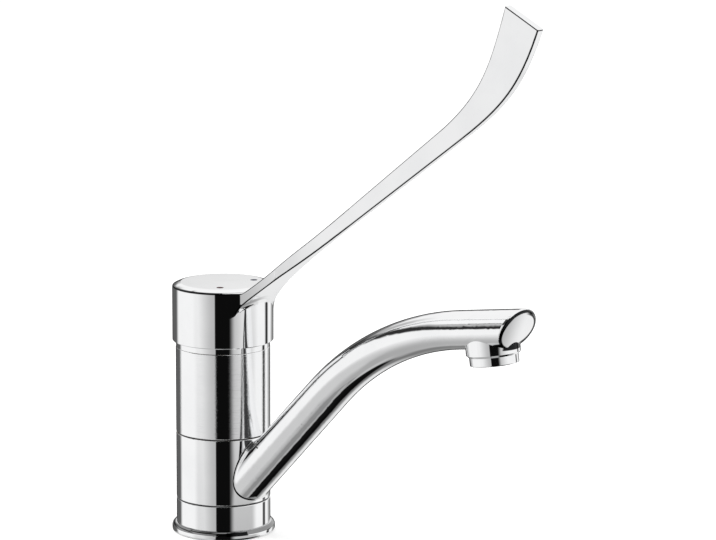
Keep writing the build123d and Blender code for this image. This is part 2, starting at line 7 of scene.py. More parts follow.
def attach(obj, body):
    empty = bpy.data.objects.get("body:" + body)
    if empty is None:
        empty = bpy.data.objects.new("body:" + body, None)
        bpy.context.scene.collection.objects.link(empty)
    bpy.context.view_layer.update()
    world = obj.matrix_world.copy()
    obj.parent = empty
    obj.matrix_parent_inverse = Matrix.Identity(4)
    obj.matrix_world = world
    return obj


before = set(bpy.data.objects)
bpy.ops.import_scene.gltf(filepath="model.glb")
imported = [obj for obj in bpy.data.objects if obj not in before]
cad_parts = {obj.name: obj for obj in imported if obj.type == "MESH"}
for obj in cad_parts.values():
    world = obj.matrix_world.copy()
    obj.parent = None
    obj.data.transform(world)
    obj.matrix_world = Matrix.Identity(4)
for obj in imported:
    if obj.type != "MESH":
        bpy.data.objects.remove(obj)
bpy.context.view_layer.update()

# The tap stands at the origin on the deck, +Z up, spout and lever towards +X. Metres.

MM = 0.001

# Camera, from the outlines of the column, the lever and the spout in the photograph.
CAMERA_AZIMUTH = math.radians(38.0)
CAMERA_PITCH = math.radians(10.8)
CAMERA_ROLL = math.radians(0.2456)
CAMERA_PLACE = (1.007307, -1.180595, 0.428033)
CAMERA_LENS = 160.41
SENSOR_WIDTH = 36.0
CLIP_START, CLIP_END = 0.05, 30.0

# Chrome: the polish's bump, the colour of the painted dark lines along its edges and the share of
# painted shade on the lever's flat sides.
CHROME_BUMP = 0.006
CHROME_BUMP_DEPTH = 0.00002
# Colour of the painted dark lines on the chrome's rounded edges, where it would show dark
# reflections.
PAINTED_LINE_COLOUR = (0.016, 0.017, 0.018)
SIDE_SHADE = 0.075

# Brass, cast and turned.
BRASS_LIGHT = (0.80, 0.57, 0.26)
BRASS_DARK = (0.62, 0.41, 0.17)

# Planes of the lever's slanted tip and of the spout's slanted end: the way that they face.
LEVER_TIP_WAY = (0.4663, 0.0, 0.8846)
SPOUT_END_WAY = (0.9421, 0.0, -0.3354)

# The spout's flat end face: height of its middle, half width and half height.
END_FACE_MIDDLE = 0.12561
END_FACE_HALF_WIDTH = 0.01246
END_FACE_HALF_HEIGHT = 0.00779

# Limits of the masks in metres: where a soft step starts and where it ends.
# Reaches are distances from the column's axis.
# These place the painted dark lines and painted shade on the chrome.
BLADE_REACH = (0.0256, 0.0262)
LID_RIM_LOW, LID_RIM_HIGH, LID_RIM_SOFT = 0.12415, 0.12505, 0.0001
LID_RIM_INNER_REACH = (0.0236, 0.0240)
LID_RIM_OUTER_REACH = (0.0252, 0.0254)
LEVER_TIP_DEPTH = (0.32195, 0.32215)
SPOUT_END_DEPTH = (0.1252, 0.1254)
SPOUT_END_X = (0.1750, 0.1756)
SPOUT_END_Z = (0.1160, 0.1163)
ROOT_LINE_X = (0.019, 0.021)
# These split the column's chrome from its brass and place the thread.
COLUMN_SKIN_REACH = (0.0231, 0.0233)
THREAD_TOP = (0.0135, 0.0142)
THREAD_REACH = (0.0150, 0.0155)


def make_camera():
    """Camera at the photograph's place, angle and lens."""
    data = bpy.data.cameras.new("photo_camera")
    data.lens = CAMERA_LENS
    data.sensor_width = SENSOR_WIDTH
    data.sensor_fit = "HORIZONTAL"
    data.clip_start = CLIP_START
    data.clip_end = CLIP_END
    camera = bpy.data.objects.new("photo_camera", data)
    bpy.context.scene.collection.objects.link(camera)
    turn, tip = CAMERA_AZIMUTH, CAMERA_PITCH
    back = Vector((math.sin(turn) * math.cos(tip), -math.cos(turn) * math.cos(tip), math.sin(tip)))
    right = Vector((math.cos(turn), math.sin(turn), 0))
    up = back.cross(right)
    level_right = right.copy()
    right = level_right * math.cos(CAMERA_ROLL) + up * math.sin(CAMERA_ROLL)
    up = up * math.cos(CAMERA_ROLL) - level_right * math.sin(CAMERA_ROLL)
    axes = Matrix((right, up, back)).transposed().to_4x4()
    camera.matrix_world = Matrix.Translation(CAMERA_PLACE) @ axes
    bpy.context.scene.camera = camera


class Tree:
    """Short names for the nodes that the materials and the world are made of."""

    def __init__(self, tree):
        self.tree = tree
        tree.nodes.clear()

    def node(self, kind, **settings):
        made = self.tree.nodes.new(kind)
        for key, value in settings.items():
            setattr(made, key, value)
        return made

    def feed(self, socket, value):
        if isinstance(value, bpy.types.NodeSocket):
            self.tree.links.new(value, socket)
        elif value is not None:
            socket.default_value = value

    def math(self, operation, a, b=None, c=None):
        made = self.node("ShaderNodeMath", operation=operation)
        for socket, value in zip(made.inputs, (a, b, c)):
            self.feed(socket, value)
        return made.outputs[0]

    def vector(self, operation, a, b=None):
        made = self.node("ShaderNodeVectorMath", operation=operation)
        self.feed(made.inputs[0], a)
        self.feed(made.inputs[1], b)
        return made.outputs["Value" if operation == "DOT_PRODUCT" else "Vector"]

    def times(self, first, *others):
        for other in others:
            first = self.math("MULTIPLY", first, other)
        return first

    def most(self, first, *others):
        for other in others:
            first = self.math("MAXIMUM", first, other)
        return first

    def squares(self, a, b):
        """Sum of two squares."""
        return self.math("ADD", self.times(a, a), self.times(b, b))

    def step(self, value, low, high, start=0.0, end=1.0):
        """Soft step of a value between two limits."""
        made = self.node("ShaderNodeMapRange", interpolation_type="SMOOTHSTEP")
        made.inputs["From Min"].default_value = low
        made.inputs["From Max"].default_value = high
        made.inputs["To Min"].default_value = start
        made.inputs["To Max"].default_value = end
        self.feed(made.inputs["Value"], value)
        return made.outputs["Result"]

    def fall(self, value, low, high):
        """Soft step down from 1 to 0."""
        return self.step(value, low, high, 1.0, 0.0)

    def window(self, value, low, high, soft):
        """1 between two limits and 0 outside, with soft ends."""
        rise = self.step(value, low - soft, low + soft)
        return self.times(rise, self.fall(value, high - soft, high + soft))

    def noise(self, place, scale, detail=3.0, roughness=0.55, distortion=0.0):
        made = self.node("ShaderNodeTexNoise")
        self.feed(made.inputs["Vector"], place)
        made.inputs["Scale"].default_value = scale
        made.inputs["Detail"].default_value = detail
        made.inputs["Roughness"].default_value = roughness
        made.inputs["Distortion"].default_value = distortion
        return made.outputs["Fac"]

    def lines(self, place, scales, roughness=0.55):
        """Noise drawn out along the axes with the smaller scales."""
        return self.noise(self.vector("MULTIPLY", place, scales), 1.0, 2.0, roughness)

    def cells(self, place, scale):
        made = self.node("ShaderNodeTexVoronoi")
        self.feed(made.inputs["Vector"], place)
        made.inputs["Scale"].default_value = scale
        return made.outputs["Distance"]

    def mix_values(self, factor, a, b):
        made = self.node("ShaderNodeMix", data_type="FLOAT")
        self.feed(made.inputs[0], factor)
        self.feed(made.inputs[2], a)
        self.feed(made.inputs[3], b)
        return made.outputs[0]

    def mix(self, factor, a, b):
        """Mix of two colours."""
        made = self.node("ShaderNodeMix", data_type="RGBA")
        self.feed(made.inputs[0], factor)
        for socket, value in ((made.inputs[6], a), (made.inputs[7], b)):
            self.feed(socket, value if isinstance(value, bpy.types.NodeSocket) else (*value, 1.0))
        return made.outputs[2]

    def bump(self, height, strength, distance):
        made = self.node("ShaderNodeBump")
        made.inputs["Strength"].default_value = strength
        made.inputs["Distance"].default_value = distance
        self.feed(made.inputs["Height"], height)
        return made.outputs["Normal"]

    def place(self):
        return self.node("ShaderNodeTexCoord").outputs["Object"]

    def facing(self):
        """The way that the surface faces, in the object's own axes."""
        return self.node("ShaderNodeTexCoord").outputs["Normal"]

    def parts(self, vector):
        made = self.node("ShaderNodeSeparateXYZ")
        self.feed(made.inputs[0], vector)
        return made.outputs[0], made.outputs[1], made.outputs[2]


def new_material(name):
    """Empty material with a shader, and short names for its nodes."""
    material = bpy.data.materials.new(name)
    material.use_nodes = True
    tree = Tree(material.node_tree)
    shader = tree.node("ShaderNodeBsdfPrincipled")
    out = tree.node("ShaderNodeOutputMaterial")
    tree.tree.links.new(shader.outputs[0], out.inputs[0])
    return material, tree, shader


def set_surface(tree, shader, colour, rough, normal, metallic=0.0):
    """Gives a shader its colour, roughness and normal."""
    shader.inputs["Metallic"].default_value = metallic
    tree.feed(shader.inputs["Base Color"], colour)
    tree.feed(shader.inputs["Roughness"], rough)
    tree.feed(shader.inputs["Normal"], normal)


def chrome_looks(tree, place):
    """Colour, roughness and bump height of polished chrome with light handling marks."""
    haze = tree.noise(place, 55.0, detail=4.0, roughness=0.6)
    fine = tree.noise(place, 900.0, roughness=0.6)
    streaks = tree.lines(place, (2600.0, 2600.0, 240.0), roughness=0.5)
    spot_rings = tree.window(tree.cells(place, 330.0), 0.10, 0.15, 0.03)
    spot_places = tree.step(tree.noise(place, 38.0, detail=2.0), 0.60, 0.68)
    marks = tree.times(spot_rings, spot_places)
    clear, hazy = (0.935, 0.938, 0.943), (0.905, 0.909, 0.916)
    colour = tree.mix(tree.step(haze, 0.35, 0.7), clear, hazy)
    rough = tree.step(haze, 0.3, 0.75, 0.018, 0.042)
    rough = tree.math("MULTIPLY_ADD", tree.step(streaks, 0.62, 0.78), 0.02, rough)
    rough = tree.math("MULTIPLY_ADD", marks, 0.05, rough)
    height = tree.math("MULTIPLY_ADD", streaks, 0.25, fine)
    return colour, rough, height


def chrome_material(name, edges=None):
    """Polished chrome, with painted dark lines and painted shade mixed into its colour where a mask
    is given.
    """
    material, tree, shader = new_material(name)
    place = tree.place()
    colour, rough, height = chrome_looks(tree, place)
    if edges:
        # Painted dark lines and painted shade, mixed into the chrome's colour.
        colour = tree.mix(edges(tree, place, tree.facing()), colour, PAINTED_LINE_COLOUR)
    normal = tree.bump(height, CHROME_BUMP, CHROME_BUMP_DEPTH)
    set_surface(tree, shader, colour, rough, normal, metallic=1.0)
    return material


def reach_from_axis(tree, place):
    """Distance from the column's axis."""
    x, y, _ = tree.parts(place)
    return tree.math("SQRT", tree.squares(x, y))


def lever_painted_dark(tree, place, facing):
    """Painted dark lines on the blade's rounded long edges, its slanted tip and the rim of the lid,
    and painted shade on the blade's flat sides.
    """
    reach = reach_from_axis(tree, place)
    sideways = tree.math("ABSOLUTE", tree.parts(facing)[1])
    # Painted shade on the blade's flat sides.
    sides = tree.times(tree.step(sideways, 0.95, 0.98), SIDE_SHADE)
    # Painted dark lines on the blade's rounded long edges.
    blade = tree.most(tree.window(sideways, 0.22, 0.95, 0.03), sides)
    blade = tree.times(blade, tree.step(reach, *BLADE_REACH))
    # Painted dark line along the rim of the lid.
    rim = tree.times(
        tree.window(tree.parts(place)[2], LID_RIM_LOW, LID_RIM_HIGH, LID_RIM_SOFT),
        tree.step(reach, *LID_RIM_INNER_REACH),
        tree.fall(reach, *LID_RIM_OUTER_REACH),
    )
    # Painted dark line on the rounded edge of the slanted tip.
    tip = tree.times(
        tree.step(tree.vector("DOT_PRODUCT", place, LEVER_TIP_WAY), *LEVER_TIP_DEPTH),
        tree.fall(tree.vector("DOT_PRODUCT", facing, LEVER_TIP_WAY), 0.8, 0.9),
    )
    return tree.most(blade, rim, tip)


def spout_painted_dark(tree, place, facing):
    """Painted dark line on the slanted end's rounded rim, wider on its far side, and painted shade
    on its flat face, darker towards -Y.
    """
    x, y, z = tree.parts(place)
    depth = tree.vector("DOT_PRODUCT", place, SPOUT_END_WAY)
    turned = tree.vector("DOT_PRODUCT", facing, SPOUT_END_WAY)
    # Painted dark line on the end's rounded rim.
    rounding = tree.window(turned, 0.38, 0.965, 0.02)
    across = tree.math("DIVIDE", y, END_FACE_HALF_WIDTH)
    along = tree.math("DIVIDE", tree.math("ADD", z, -END_FACE_MIDDLE), END_FACE_HALF_HEIGHT)
    # Painted dark band along the flat face's edge on its far side.
    far = tree.times(tree.step(tree.squares(across, along), 0.78, 0.86), tree.step(y, 0.001, 0.006))
    # Painted shade across the flat face, darker towards -Y.
    shade = tree.step(y, -0.0140, 0.0050, 0.50, 0.0)
    flat = tree.times(tree.most(far, shade), tree.step(turned, 0.95, 0.98))
    # Only the very end: neither the tube nor the outlet boss below it.
    beyond = tree.times(tree.step(x, *SPOUT_END_X), tree.step(z, *SPOUT_END_Z))
    return tree.times(tree.step(depth, *SPOUT_END_DEPTH), tree.most(rounding, flat), beyond)


def foot_painted_dark(tree, place, facing):
    """Painted dark reflection on the foot's rounded shoulder, darkest near its crest and at the
    front on the right.
    """
    x, y, _ = tree.parts(place)
    upright = tree.parts(facing)[2]
    # Painted dark reflection on the shoulder, the crest and the front wedge.
    shoulder = tree.times(tree.window(upright, 0.30, 0.985, 0.05), 0.72)
    crest = tree.times(tree.window(upright, 0.17, 0.30, 0.04), 0.90)
    front = tree.window(tree.math("ARCTAN2", y, x), -0.82, -0.37, 0.02)
    front = tree.times(front, tree.window(upright, 0.05, 0.80, 0.03))
    return tree.most(shoulder, crest, front)


def root_painted_dark(tree, place, facing):
    """Painted dark lines on the rounded long edges of the lever's root and painted shade on its
    flat sides.
    """
    upright = tree.math("ABSOLUTE", tree.parts(facing)[2])
    sideways = tree.math("ABSOLUTE", tree.parts(facing)[1])
    # Painted dark lines on the root's rounded long edges.
    line = tree.times(
        tree.window(upright, 0.20, 0.66, 0.03),
        tree.step(sideways, 0.28, 0.40),
        tree.step(tree.parts(place)[0], *ROOT_LINE_X),
    )
    return tree.most(line, tree.times(tree.step(sideways, 0.93, 0.97), SIDE_SHADE))


def plated_brass_material():
    """Chrome where the column is seen, turned brass with thread ridges inside it."""
    material, tree, shader = new_material("plated_brass")
    place = tree.place()
    height_on_column = tree.parts(place)[2]
    reach = reach_from_axis(tree, place)
    outside = tree.step(reach, *COLUMN_SKIN_REACH)
    chrome_colour, chrome_rough, _ = chrome_looks(tree, place)
    turning = tree.lines(place, (60.0, 60.0, 6000.0))
    grain = tree.noise(place, 240.0, detail=5.0, roughness=0.6)
    brass = tree.mix(grain, BRASS_LIGHT, BRASS_DARK)
    colour = tree.mix(outside, brass, chrome_colour)
    brass_rough = tree.math("MULTIPLY_ADD", turning, 0.18, 0.20)
    rough = tree.mix_values(outside, brass_rough, chrome_rough)
    # Thread of 1 mm pitch in the holes under the foot.
    ridges = tree.math("PINGPONG", tree.math("DIVIDE", height_on_column, MM), 0.5)
    low = tree.fall(height_on_column, *THREAD_TOP)
    inner = tree.fall(reach, *THREAD_REACH)
    height = tree.math("MULTIPLY_ADD", tree.times(ridges, low, inner), 12.0, turning)
    set_surface(tree, shader, colour, rough, tree.bump(height, 0.25, 0.00006), metallic=1.0)
    return material


def rubber_material():
    """Dusty black rubber."""
    material, tree, shader = new_material("black_rubber")
    place = tree.place()
    grain = tree.noise(place, 1400.0, detail=4.0, roughness=0.7)
    dust = tree.noise(place, 160.0, detail=4.0, roughness=0.6)
    colour = tree.mix(tree.step(dust, 0.45, 0.75), (0.018, 0.018, 0.019), (0.050, 0.050, 0.052))
    rough = tree.step(dust, 0.3, 0.8, 0.55, 0.80)
    set_surface(tree, shader, colour, rough, tree.bump(grain, 0.35, 0.00008))
    shader.inputs["Specular IOR Level"].default_value = 0.35
    return material


def plastic_material(name, light, dark, rough_low, rough_high):
    """Moulded plastic: faint flow marks, fine grain and a soft sheen."""
    material, tree, shader = new_material(name)
    place = tree.place()
    flow = tree.noise(place, 90.0, detail=4.0, distortion=0.6)
    grain = tree.noise(place, 1800.0, roughness=0.6)
    colour = tree.mix(tree.step(flow, 0.3, 0.75), light, dark)
    rough = tree.step(flow, 0.3, 0.7, rough_low, rough_high)
    set_surface(tree, shader, colour, rough, tree.bump(grain, 0.2, 0.00005))
    return material


def ceramic_material():
    """Lapped alumina: almost white, fine speckle, silky polish."""
    material, tree, shader = new_material("lapped_ceramic")
    place = tree.place()
    speckle = tree.cells(place, 2600.0)
    cloud = tree.noise(place, 120.0, detail=4.0)
    tone = tree.math("MULTIPLY_ADD", tree.step(speckle, 0.2, 0.5), 0.3, tree.times(cloud, 0.7))
    colour = tree.mix(tone, (0.86, 0.84, 0.79), (0.78, 0.76, 0.71))
    rough = tree.step(cloud, 0.3, 0.7, 0.16, 0.26)
    set_surface(tree, shader, colour, rough, tree.bump(speckle, 0.08, 0.00003))
    return material


def steel_material():
    """Ground steel: fine grinding marks along X and small dark stains."""
    material, tree, shader = new_material("ground_steel")
    place = tree.place()
    grinding = tree.lines(place, (400.0, 5200.0, 5200.0))
    stain = tree.noise(place, 210.0, detail=5.0, roughness=0.65)
    colour = tree.mix(tree.step(stain, 0.4, 0.75), (0.62, 0.61, 0.59), (0.44, 0.42, 0.40))
    rough = tree.step(grinding, 0.3, 0.7, 0.22, 0.38)
    set_surface(tree, shader, colour, rough, tree.bump(grinding, 0.15, 0.00003), metallic=1.0)
    return material


def brass_material():
    """Turned brass: lathe rings and a cloudy tone."""
    material, tree, shader = new_material("turned_brass")
    place = tree.place()
    turning = tree.lines(place, (90.0, 90.0, 5200.0))
    grain = tree.noise(place, 260.0, detail=5.0, roughness=0.6)
    colour = tree.mix(grain, BRASS_LIGHT, BRASS_DARK)
    rough = tree.step(turning, 0.3, 0.7, 0.20, 0.36)
    set_surface(tree, shader, colour, rough, tree.bump(turning, 0.2, 0.00004), metallic=1.0)
    return material


def enamel_material(name, light, dark):
    """Filled enamel dot: deep colour, tiny pits and a dull skin."""
    material, tree, shader = new_material(name)
    place = tree.place()
    cloud = tree.noise(place, 900.0, detail=4.0, roughness=0.6)
    pits = tree.step(tree.cells(place, 3400.0), 0.06, 0.16)
    colour = tree.mix(tree.step(cloud, 0.35, 0.7), light, dark)
    rough = tree.step(cloud, 0.3, 0.7, 0.50, 0.62)
    set_surface(tree, shader, colour, rough, tree.bump(pits, 0.12, 0.00004))
    shader.inputs["Specular IOR Level"].default_value = 0.08
    return material


def dress(node, material):
    """Gives a carried-over CAD node its material."""
    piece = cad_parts[node]
    if not piece.material_slots:
        piece.data.materials.append(material)
    for slot in piece.material_slots:
        slot.material = material


def dress_nodes():
    """Gives every CAD node its material and adds the lever's root."""
    chrome = chrome_material("polished_chrome")
    plated = plated_brass_material()
    rubber = rubber_material()
    white = plastic_material("white_acetal", (0.78, 0.78, 0.76), (0.70, 0.70, 0.68), 0.32, 0.45)
    grey = plastic_material("grey_plastic", (0.23, 0.235, 0.24), (0.17, 0.175, 0.18), 0.35, 0.50)
    seam = plastic_material(
        "dark_glide_plastic", (0.060, 0.060, 0.062), (0.035, 0.035, 0.037), 0.40, 0.55
    )
    ceramic = ceramic_material()
    steel = steel_material()
    brass = brass_material()
    plug = plastic_material("plug_grey", (0.30, 0.305, 0.31), (0.24, 0.245, 0.25), 0.30, 0.42)
    hot = enamel_material("hot_enamel", (0.050, 0.006, 0.008), (0.034, 0.004, 0.006))
    cold = enamel_material("cold_enamel", (0.008, 0.012, 0.036), (0.006, 0.009, 0.026))
    # These chromes carry painted dark lines and painted shade in their colour.
    painted_lever_chrome = chrome_material("painted_lever_chrome", lever_painted_dark)
    painted_spout_chrome = chrome_material("painted_spout_chrome", spout_painted_dark)
    painted_foot_chrome = chrome_material("painted_foot_chrome", foot_painted_dark)
    finishes = {
        "mixer_body": plated,
        "base_collar": chrome,
        "base_ring": painted_foot_chrome,
        "base_gasket": rubber,
        "lower_glide_ring": seam,
        "upper_glide_ring": seam,
        "lower_spout_seal": rubber,
        "upper_spout_seal": rubber,
        "cover_ring": chrome,
        "cartridge_nut": brass,
        "cartridge_base": white,
        "port_seals": rubber,
        "cartridge_housing": white,
        "fixed_ceramic_disc": ceramic,
        "moving_ceramic_disc": ceramic,
        "disc_carrier": grey,
        "lever_carrier": white,
        "pivot_pin": steel,
        "lever_stem": steel,
        "elbow_lever": painted_lever_chrome,
        "hot_dot": hot,
        "cold_dot": cold,
        "grub_screw": steel,
        "screw_plug": plug,
        "spout": painted_spout_chrome,
        "aerator_housing": chrome,
        "aerator_seal": rubber,
        "aerator_insert": grey,
    }
    for node, material in finishes.items():
        dress(node, material)
    # The root's chrome carries painted dark lines and painted shade as well.
    make_lever_root(chrome_material("painted_root_chrome", root_painted_dark))


# Widened root of the lever, where the blade grows out of the cap on both sides.
# Lengths in millimetres, x along the lever from the column's axis.

WALL_RADIUS = 25.1
LID_EDGE_HEIGHT = 124.95
ROOT_START = 14.0
ROOT_TOUCH = 18.2
ROOT_TURN = 23.4
ROOT_END = 39.4
ROOT_RINGS = 84

# The root lies this far inside the cap's wall, the blade's sides, its top and its underside.
WALL_SINK, SIDE_SINK, TOP_SINK, LOW_SINK = 0.06, 0.03, 0.04, 0.08

# Curves: where they start and their coefficients from the constant upwards.
FLARE_CURVE = (ROOT_TOUCH, (17.28, -1.054, 0.0504))
TAPER_CURVE = (ROOT_TURN, (0.0, -0.53, 0.0096))
BLADE_TOP_CURVE = (15.0, (118.8, 0.6745, 0.00878, -0.000122))
BLADE_LOW_CURVE = (21.0, (116.5, 1.0355, -0.01444, 0.000329))
TOP_BLEND = 0.3

TOP_ROUNDING = 0.9
LOW_ROUNDING = 0.7
FILLET = 2.4
CORNER_STEPS = 7
FLAT_STEPS = 24
SIDE_STEPS = 8


def along_curve(x, curve):
    """Value of a curve at x."""
    start, coefficients = curve
    return sum(value * (x - start) ** power for power, value in enumerate(coefficients))


def root_half_width(x):
    """Half width of the root: it leaves the round wall on a tangent and runs into the blade."""
    if x < ROOT_TOUCH:
        return math.sqrt((WALL_RADIUS - WALL_SINK) ** 2 - x * x)
    flare = along_curve(min(x, ROOT_TURN), FLARE_CURVE)
    return flare + along_curve(max(x, ROOT_TURN), TAPER_CURVE) - SIDE_SINK


def root_top(x):
    """Height of the root's top: level with the lid's edge at first, then with the blade."""
    gap = along_curve(x, BLADE_TOP_CURVE) - TOP_SINK - LID_EDGE_HEIGHT
    return LID_EDGE_HEIGHT + 0.5 * (gap + math.sqrt(gap * gap + TOP_BLEND))


def root_low(x):
    """Height of the root's underside, which follows the blade's."""
    return along_curve(x, BLADE_LOW_CURVE) + LOW_SINK


def root_fillet_drop(x, y):
    """How far the underside's hollow fillet lies below the blade near the cap's wall."""
    share = min(max(1.0 - (math.hypot(x, y) - WALL_RADIUS) / FILLET, 0.0), 1.0)
    return FILLET * (1.0 - math.sqrt(1.0 - share * share))


def root_section(x):
    """Closed outline of the root across the lever: flat sides, rounded edges."""
    half, top, low = root_half_width(x), root_top(x), root_low(x)
    corners = (
        (-half, top, TOP_ROUNDING, 90.0),
        (-half, low, LOW_ROUNDING, 180.0),
        (half, low, LOW_ROUNDING, 270.0),
        (half, top, TOP_ROUNDING, 0.0),
    )
    outline = []
    for index, (side, height, rounding, start) in enumerate(corners):
        middle_y = side + (rounding if side < 0 else -rounding)
        middle_z = height + (rounding if height == low else -rounding)
        for step in range(CORNER_STEPS + 1):
            angle = math.radians(start + 90.0 * step / CORNER_STEPS)
            y = middle_y + rounding * math.cos(angle)
            outline.append((y, middle_z + rounding * math.sin(angle)))
        after = corners[(index + 1) % 4]
        if after[1] == height:
            # Across the top or the underside.
            width = 2.0 * (half - rounding)
            for step in range(1, FLAT_STEPS):
                move = width * step / FLAT_STEPS
                outline.append((middle_y + (move if side < 0 else -move), height))
        else:
            # Down or up a side.
            tall = top - low - TOP_ROUNDING - LOW_ROUNDING
            for step in range(1, SIDE_STEPS):
                move = tall * step / SIDE_STEPS
                outline.append((side, middle_z + (move if height == low else -move)))
    fillet_top = low + LOW_ROUNDING + 0.01
    return [(x, y, z - (root_fillet_drop(x, y) if z < fillet_top else 0.0)) for y, z in outline]


def make_lever_root(material):
    """Mesh of the widened root, which turns and tilts with the lever."""
    span = ROOT_END - ROOT_START
    places = [ROOT_START + span * index / ROOT_RINGS for index in range(ROOT_RINGS + 1)]
    rings = [root_section(x) for x in places]
    size = len(rings[0])
    points = [tuple(MM * v for v in point) for ring in rings for point in ring]
    faces = []
    for ring in range(ROOT_RINGS):
        low, high = ring * size, (ring + 1) * size
        for spot in range(size):
            beside = (spot + 1) % size
            faces.append((low + spot, low + beside, high + beside, high + spot))
    faces.append(tuple(range(size)))
    faces.append(tuple(reversed(range(ROOT_RINGS * size, (ROOT_RINGS + 1) * size))))
    mesh = bpy.data.meshes.new("lever_root")
    mesh.from_pydata(points, [], faces)
    mesh.validate()
    mesh.polygons.foreach_set("use_smooth", [True] * len(mesh.polygons))
    mesh.materials.append(material)
    piece = bpy.data.objects.new("lever_root", mesh)
    bpy.context.scene.collection.objects.link(piece)
    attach(piece, "lever")


# Studio: pale floor, white surround, dark flags that the chrome shows as stripes.
# Turns are degrees from the camera to the right, levels are degrees above the horizon.
# A window is (low, high, softness), and a panel is a window of turns and one of levels.
# An oval is (turn, level, half width, half height, softness of its rim).

FLOOR_HALF = 6.0
FLOOR_LEVEL = -0.0001
FLOOR_COLOUR = (0.80, 0.80, 0.80, 1.0)
FLOOR_GLOW = 0.45
WHITE = (1.0, 1.0, 1.0, 1.0)
PLAIN_LIGHT = 0.75

# Windows of turns and ovals in which the table's light differs.
TABLE_FRONT_LEFT = (-68.0, -14.0, 8.0)
TABLE_FRONT_RIGHT = (0.0, 84.0, 10.0)
TABLE_REAR = (132.0, 190.0, 6.0)
TABLE_REAR_GLEAM = (172.0, -77.0, 40.0, 6.0, 0.4)
TABLE_RIGHT_GLEAM = (118.0, -32.0, 11.0, 9.0, 0.3)

# Low behind the object, beside a lit gap.
REAR_LEFT_FLAG = ((-172.0, -124.0, 7.0), (-24.0, -3.0, 2.0))
REAR_LEFT_TONE = (-172.0, -42.0, 16.0, 20.0, 0.35)
REAR_RIGHT_FLAG = ((115.0, 126.0, 3.5), (-21.0, -3.0, 2.0))
REAR_FLAG = ((143.0, 176.0, 4.0), (-24.0, -3.0, 2.0))

# A dark cloth on the table, in front on the right. The table's dark edge on the right behind
# the object, with a soft shade above it.
CLOTH = ((-20.0, 96.0, 3.0), (-66.0, -19.0, 2.5))
TABLE_EDGE = (138.0, -66.2, 44.0, 12.3, 0.16)
TABLE_EDGE_SHADE = (140.0, -52.0, 46.0, 9.5, 0.6)

# Dark bar high on the left, bent down at both ends, with softer ones above and below it.
BAR_MIDDLE_TURN, BAR_MIDDLE_LEVEL = -109.0, 31.3
BAR_BEND_TURNS, BAR_BEND_LEVELS = 40.0, 15.0
BAR_ACROSS, BAR_TURNS = (-5.4, 4.6, 2.4), (-158.0, -74.0, 6.0)
ABOVE_BAR_ACROSS, ABOVE_BAR_TURNS = (2.5, 9.0, 2.5), (-125.0, -80.0, 8.0)
THIN_BAR = ((-150.0, -98.0, 5.0), (49.0, 52.0, 0.8))
UNDER_BAR = (-152.0, 16.0, 9.0, 15.0, 0.4)
UNDER_BAR_LOW = (-147.0, 8.0, 27.0, 9.0, 0.3)

# Straight behind the object: degrees below the horizon, outer and inner radius.
OUTLINE_PATCH = (10.8, 22.8, 16.5)

# Overhead, from the left side round the front, and around the camera.
OVERHEAD = ((-110.0, 40.0, 3.0), (41.0, 76.0, 2.5))
CAMERA_PANEL_LEFT, CAMERA_PANEL_RIGHT = (-17.2, -14.8), (16.0, 31.0)
CAMERA_PANEL_LEVELS = (-42.0, 58.0, 3.0)


def make_floor():
    """Pale floor that keeps the tap's shadow and shows as white to the camera."""
    mesh = bpy.data.meshes.new("floor")
    ways = ((-1, -1), (1, -1), (1, 1), (-1, 1))
    corners = [(FLOOR_HALF * x, FLOOR_HALF * y, FLOOR_LEVEL) for x, y in ways]
    mesh.from_pydata(corners, [], [(0, 1, 2, 3)])
    floor = bpy.data.objects.new("floor", mesh)
    bpy.context.scene.collection.objects.link(floor)
    material = bpy.data.materials.new("pale_floor")
    material.use_nodes = True
    tree = Tree(material.node_tree)
    matt = tree.node("ShaderNodeBsdfDiffuse")
    matt.inputs["Color"].default_value = FLOOR_COLOUR
    glow = tree.node("ShaderNodeEmission")
    glow.inputs["Color"].default_value = WHITE
    seen = tree.node("ShaderNodeLightPath").outputs["Is Camera Ray"]
    tree.feed(glow.inputs["Strength"], tree.times(seen, FLOOR_GLOW))
    both = tree.node("ShaderNodeAddShader")
    tree.feed(both.inputs[0], matt.outputs[0])
    tree.feed(both.inputs[1], glow.outputs[0])
    out = tree.node("ShaderNodeOutputMaterial")
    tree.feed(out.inputs[0], both.outputs[0])
    mesh.materials.append(material)
    floor.visible_glossy = False


